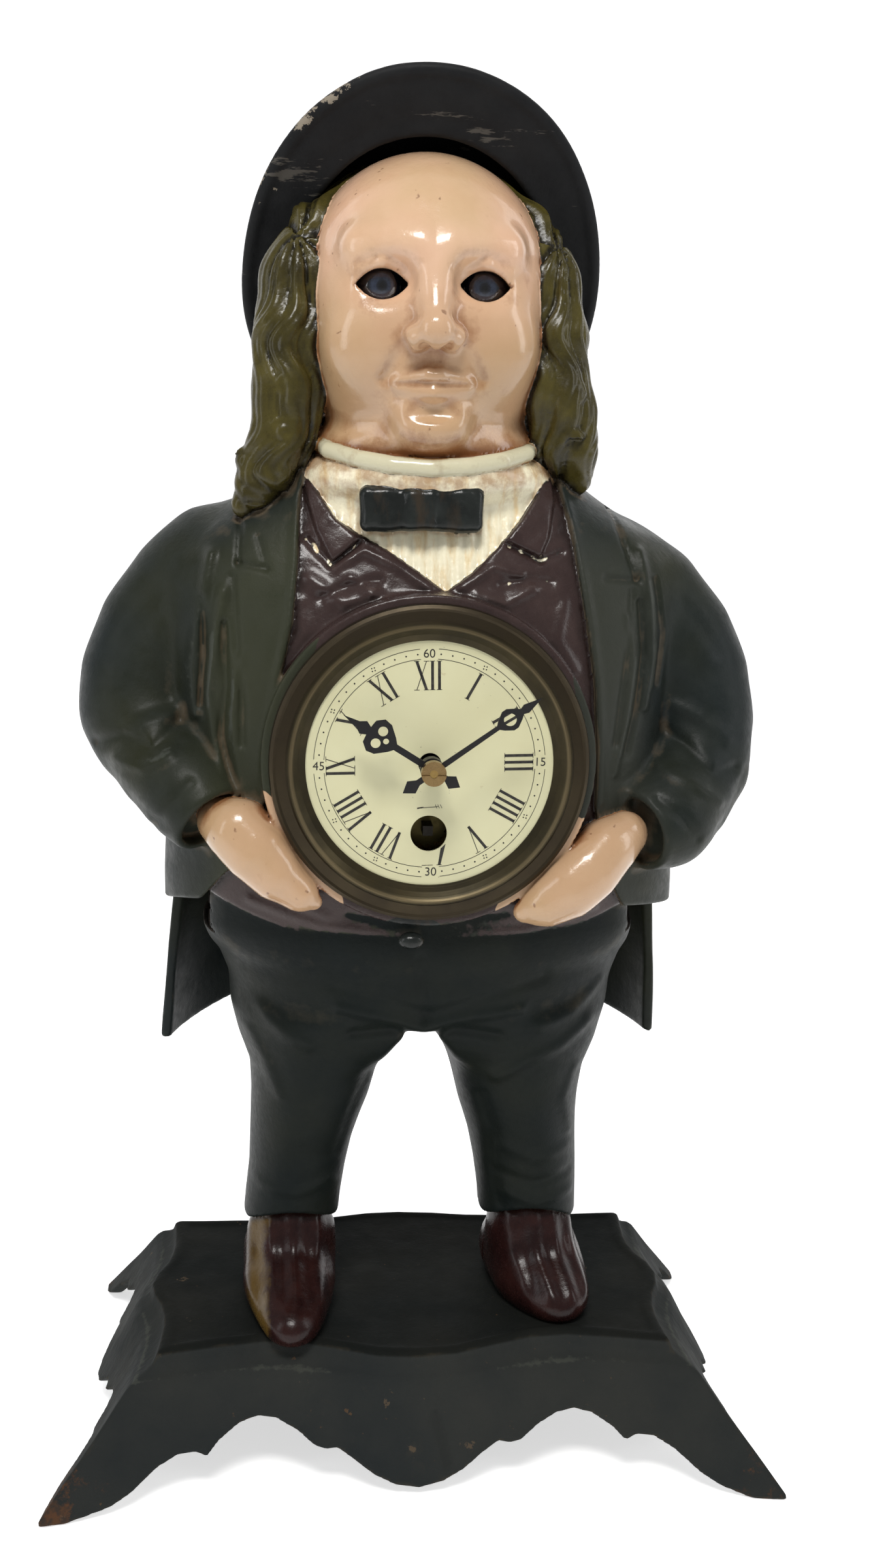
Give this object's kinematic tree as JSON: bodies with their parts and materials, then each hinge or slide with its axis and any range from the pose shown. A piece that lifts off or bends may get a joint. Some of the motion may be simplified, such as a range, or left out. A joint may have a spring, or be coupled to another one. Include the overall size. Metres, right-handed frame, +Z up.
{
  "type": "figural mantel clock",
  "caption": "Painted cast-iron standing-figure mantel clock with belly dial, pierced hands, lever movement, rolling eyes, rear door and flared footed base.",
  "frame": {"origin": "centre of the footprint on the resting plane, under the feet", "axes": "+Z up, dial faces -Y, +X to the right seen from the front"},
  "size_m": [0.216, 0.142, 0.4099],
  "materials": {
    "cast_paint_dark": "aged charcoal-green paint over cast iron",
    "cast_paint_figure": "hand-painted cast iron: dark coat, brown vest, cream shirt, peach skin, olive-brown hair",
    "hat_paint": "matt black paint, chipped",
    "aged_brass": "dark tarnished brass",
    "movement_brass": "brushed clock brass",
    "steel": "polished steel",
    "blued_steel": "black enamel on steel",
    "iron_screw": "oiled iron",
    "dial_enamel": null,
    "eye_enamel": "gloss eye enamel"
  },
  "bodies": {
    "case": {"base_casting": "cast_paint_dark", "base_screws": "iron_screw", "figure_front": "cast_paint_figure", "figure_back": "cast_paint_figure", "case_screws": "iron_screw", "hat_casting": "hat_paint", "hat_screw": "iron_screw", "hinge_pin": "steel", "latch_screw": "iron_screw", "bezel": "aged_brass", "dial": "dial_enamel", "dial_pan": "movement_brass", "front_plate": "movement_brass", "back_plate": "movement_brass", "pillars": "movement_brass", "plate_screws": "steel", "mount_posts": "movement_brass", "mount_screws": "steel", "click_screw": "steel", "click_spring": "steel", "minute_post": "steel", "balance_cock": "movement_brass", "cock_screws": "steel", "eye_bracket": "movement_brass", "bracket_screws": "steel"},
    "door": {"rear_door": "cast_paint_dark"},
    "latch": {"door_latch": "aged_brass"},
    "minute_group": {"minute_hand": "blued_steel", "hand_nut": "aged_brass", "cannon_pinion": "steel", "centre_arbor": "movement_brass"},
    "minute_wheel_body": {"minute_wheel": "movement_brass"},
    "hour_group": {"hour_hand": "blued_steel", "hour_wheel": "movement_brass"},
    "barrel_body": {"barrel": "movement_brass", "barrel_cover": "movement_brass"},
    "winding_body": {"winding_arbor": "steel", "ratchet_wheel": "steel", "mainspring": "steel"},
    "click_body": {"click": "steel"},
    "third_body": {"third_wheel": "movement_brass"},
    "fourth_body": {"fourth_wheel": "movement_brass"},
    "escape_body": {"escape_wheel": "movement_brass"},
    "lever_body": {"pallet_lever": "steel"},
    "balance_body": {"balance_wheel": "movement_brass", "hairspring": "steel"},
    "eye_body": {"eye_arbor": "steel", "eyes": "eye_enamel"},
    "link_body": {"link_wire": "steel"}
  },
  "joints": [
    {"name": "minute_hand_turn", "type": "hinge", "parent": "case", "child": "minute_group", "pos_m": [0, -0.04, 0.2185], "axis": [0, 1, 0], "continuous": true},
    {"name": "minute_wheel_turn", "type": "hinge", "parent": "case", "child": "minute_wheel_body", "pos_m": [0.00594, -0.043, 0.22444], "axis": [0, 1, 0], "continuous": true},
    {"name": "hour_hand_turn", "type": "hinge", "parent": "case", "child": "hour_group", "pos_m": [0, -0.046, 0.2185], "axis": [0, 1, 0], "continuous": true},
    {"name": "barrel_turn", "type": "hinge", "parent": "case", "child": "barrel_body", "pos_m": [0, -0.03, 0.1989], "axis": [0, 1, 0], "continuous": true},
    {"name": "third_wheel_turn", "type": "hinge", "parent": "case", "child": "third_body", "pos_m": [-0.01247, -0.027, 0.2257], "axis": [0, 1, 0], "continuous": true},
    {"name": "fourth_wheel_turn", "type": "hinge", "parent": "case", "child": "fourth_body", "pos_m": [-0.00801, -0.027, 0.23795], "axis": [0, 1, 0], "continuous": true},
    {"name": "escape_wheel_turn", "type": "hinge", "parent": "case", "child": "escape_body", "pos_m": [0.00189, -0.034, 0.23795], "axis": [0, 1, 0], "continuous": true},
    {"name": "winding_turn", "type": "hinge", "parent": "case", "child": "winding_body", "pos_m": [0, -0.041, 0.1989], "axis": [0, 1, 0], "continuous": true},
    {"name": "click_lift", "type": "hinge", "parent": "case", "child": "click_body", "pos_m": [0.0106, -0.0416, 0.2044], "axis": [0, 1, 0], "range_deg": [0, 14]},
    {"name": "balance_swing", "type": "hinge", "parent": "case", "child": "balance_body", "pos_m": [0.01911, -0.029, 0.22992], "axis": [0, 1, 0], "range_deg": [-32, 32]},
    {"name": "lever_rock", "type": "hinge", "parent": "case", "child": "lever_body", "pos_m": [0.00932, -0.034, 0.23449], "axis": [0, 1, 0], "range_deg": [-8, 8]},
    {"name": "eye_roll", "type": "hinge", "parent": "case", "child": "eye_body", "pos_m": [0, -0.0275, 0.347], "axis": [1, 0, 0], "range_deg": [-11.33, 11.33]},
    {"name": "link_lift", "type": "slide", "parent": "case", "child": "link_body", "axis": [0, 0, 1], "range_m": [-0.002, 0.002]},
    {"name": "door_swing", "type": "hinge", "parent": "case", "child": "door", "pos_m": [-0.029, 0.0434, 0.22], "axis": [0, 0, 1], "range_deg": [0, 110]},
    {"name": "latch_turn", "type": "hinge", "parent": "case", "child": "latch", "pos_m": [0.033, 0.0417, 0.22], "axis": [0, 1, 0], "range_deg": [-90, 0]}
  ],
  "couplings": [
    {"joint": "minute_wheel_turn", "follows": "minute_hand_turn", "ratio": -0.33333},
    {"joint": "hour_hand_turn", "follows": "minute_hand_turn", "ratio": 0.083333},
    {"joint": "barrel_turn", "follows": "minute_hand_turn", "ratio": -0.16667},
    {"joint": "third_wheel_turn", "follows": "minute_hand_turn", "ratio": -8},
    {"joint": "escape_wheel_turn", "follows": "fourth_wheel_turn", "ratio": -10},
    {"joint": "balance_swing", "follows": "eye_roll", "ratio": -2.8241},
    {"joint": "lever_rock", "follows": "eye_roll", "ratio": 0.70602},
    {"joint": "link_lift", "follows": "eye_roll", "m_per_rad": 0.0084447}
  ]
}
